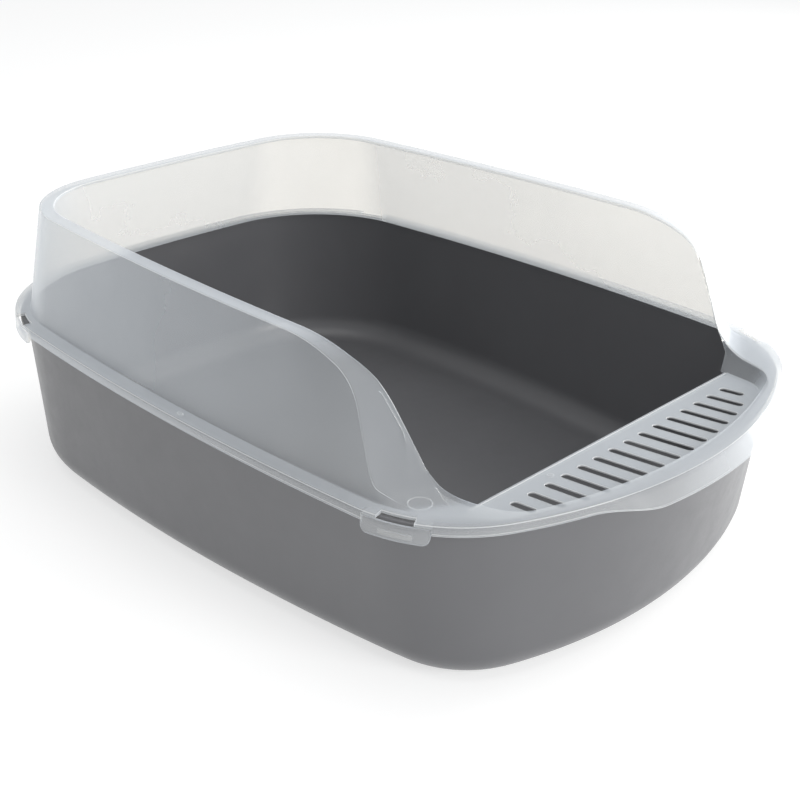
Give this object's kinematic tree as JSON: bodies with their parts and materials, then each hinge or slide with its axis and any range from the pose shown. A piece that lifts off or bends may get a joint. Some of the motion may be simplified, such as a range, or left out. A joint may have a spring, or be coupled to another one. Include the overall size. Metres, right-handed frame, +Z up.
{
  "type": "cat litter box",
  "caption": "Deep open cat litter tray with a clear clip-on guard: raised wall round the back and sides, low front with a sunk slotted entry step.",
  "frame": {"origin": "centre of the overall footprint, on the flat underside of the tray", "axes": "+Z up; +Y along the long side towards the high back; the entry step is at -Y; +X to the right as seen from the entry"},
  "size_m": [0.3752, 0.5412, 0.19],
  "materials": {
    "tray_plastic": "satin moulded polypropylene, cool dark grey",
    "guard_plastic": "unpigmented translucent polypropylene, milky, slightly glossy"
  },
  "bodies": {
    "tray": {"tray": "tray_plastic"},
    "guard": {"guard_rim": "guard_plastic", "guard_back": "guard_plastic", "guard_side_left": "guard_plastic", "guard_side_right": "guard_plastic", "entry_step": "guard_plastic"},
    "snap_front_left": {"snap_front_left": "guard_plastic"},
    "snap_front_right": {"snap_front_right": "guard_plastic"},
    "snap_rear_left": {"snap_rear_left": "guard_plastic"},
    "snap_rear_right": {"snap_rear_right": "guard_plastic"}
  },
  "joints": [
    {"name": "guard_lift", "type": "slide", "parent": "tray", "child": "guard", "axis": [0, 0, 1], "range_m": [0, 0.12]},
    {"name": "snap_front_left_hinge", "type": "hinge", "parent": "guard", "child": "snap_front_left", "pos_m": [-0.17408, -0.18513, 0.113], "axis": [-0.3662, 0.9305, 0], "range_deg": [0, 12], "stiffness_Nm_per_rad": 0.2},
    {"name": "snap_front_right_hinge", "type": "hinge", "parent": "guard", "child": "snap_front_right", "pos_m": [0.17408, -0.18513, 0.113], "axis": [-0.3662, -0.9305, 0], "range_deg": [0, 12], "stiffness_Nm_per_rad": 0.2},
    {"name": "snap_rear_left_hinge", "type": "hinge", "parent": "guard", "child": "snap_rear_left", "pos_m": [-0.17412, 0.1917, 0.113], "axis": [0.2979, 0.9546, 0], "range_deg": [0, 12], "stiffness_Nm_per_rad": 0.2},
    {"name": "snap_rear_right_hinge", "type": "hinge", "parent": "guard", "child": "snap_rear_right", "pos_m": [0.17412, 0.1917, 0.113], "axis": [0.2979, -0.9546, 0], "range_deg": [0, 12], "stiffness_Nm_per_rad": 0.2}
  ]
}
